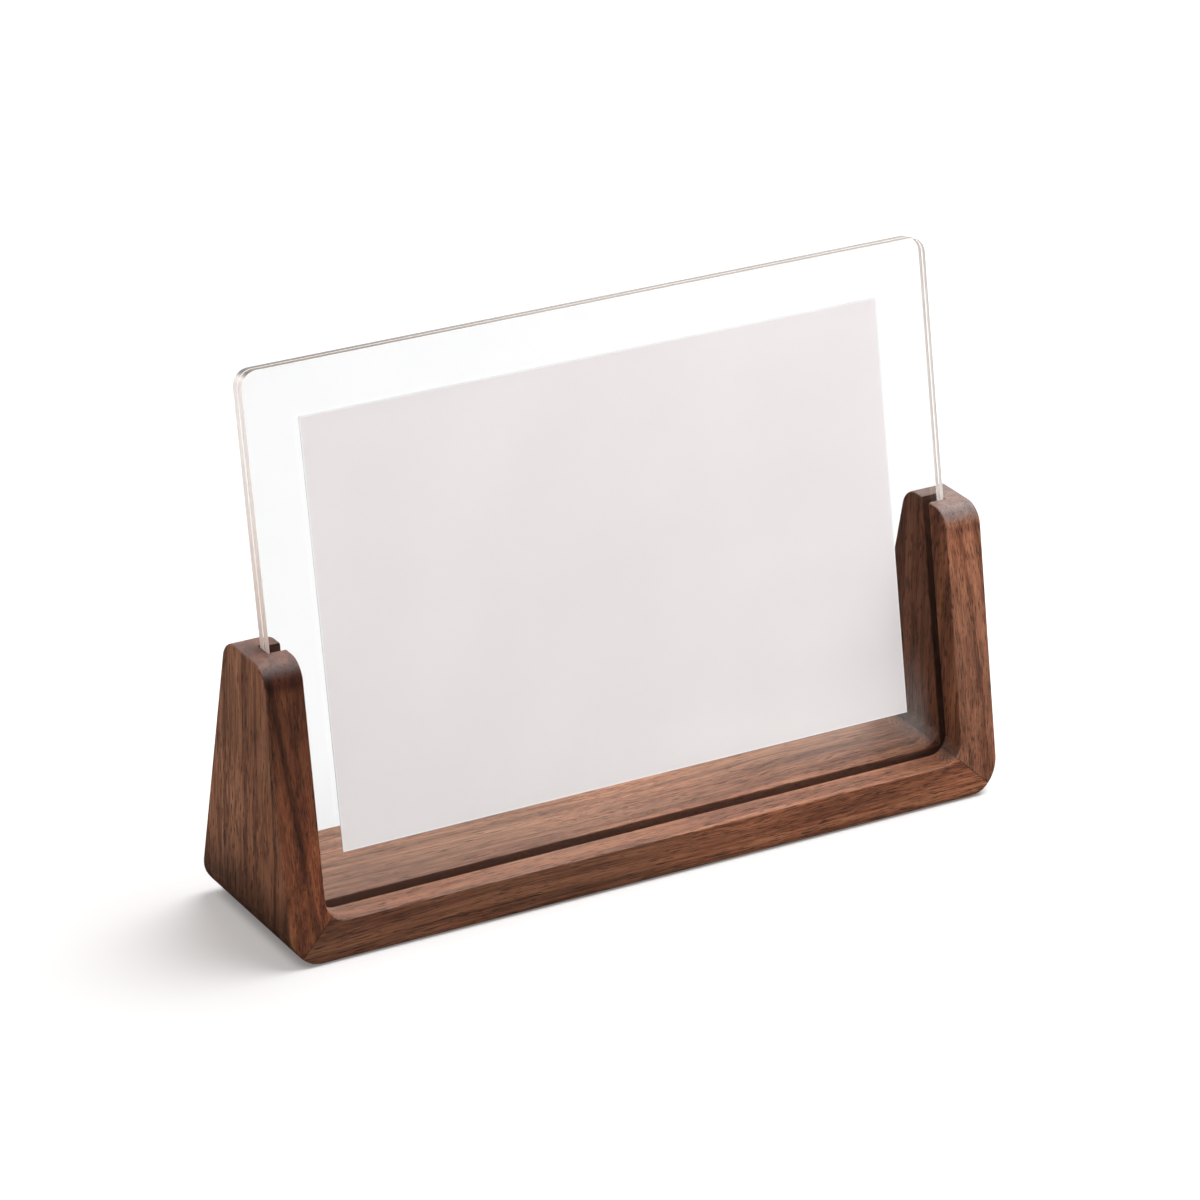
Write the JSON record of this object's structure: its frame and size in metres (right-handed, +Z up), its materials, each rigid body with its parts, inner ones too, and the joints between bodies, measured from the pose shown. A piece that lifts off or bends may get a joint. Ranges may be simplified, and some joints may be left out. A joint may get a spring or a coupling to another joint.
{
  "type": "u-shaped wooden photo frame",
  "caption": "Desk photo frame: a mitred walnut U that leans back, with a groove round its inside that holds two clear panels and a print between them.",
  "frame": {"origin": "middle of the foot, on its flat underside", "axes": "+X along the base, +Y from the front to the back, +Z up"},
  "size_m": [0.191, 0.0455, 0.1328],
  "materials": {
    "walnut": "oiled satin",
    "clear_acrylic": "clear, polished",
    "print_paper": "smooth, matte",
    "dowel_wood": "plain"
  },
  "bodies": {
    "wood_frame": {"base_board": "walnut", "left_post": "walnut", "right_post": "walnut", "left_front_dowel": "dowel_wood", "left_rear_dowel": "dowel_wood", "right_front_dowel": "dowel_wood", "right_rear_dowel": "dowel_wood"},
    "front_panel": {"front_panel": "clear_acrylic"},
    "rear_panel": {"rear_panel": "clear_acrylic"},
    "photo_print": {"photo_print": "print_paper"}
  },
  "joints": [
    {"name": "front_panel_slide", "type": "slide", "parent": "wood_frame", "child": "front_panel", "axis": [0, 0.1994, 0.9799], "range_m": [0, 0.07]},
    {"name": "rear_panel_slide", "type": "slide", "parent": "wood_frame", "child": "rear_panel", "axis": [0, 0.1994, 0.9799], "range_m": [0, 0.07]},
    {"name": "print_slide", "type": "slide", "parent": "rear_panel", "child": "photo_print", "axis": [0, 0.1994, 0.9799], "range_m": [-0.0155, 0.116]}
  ]
}
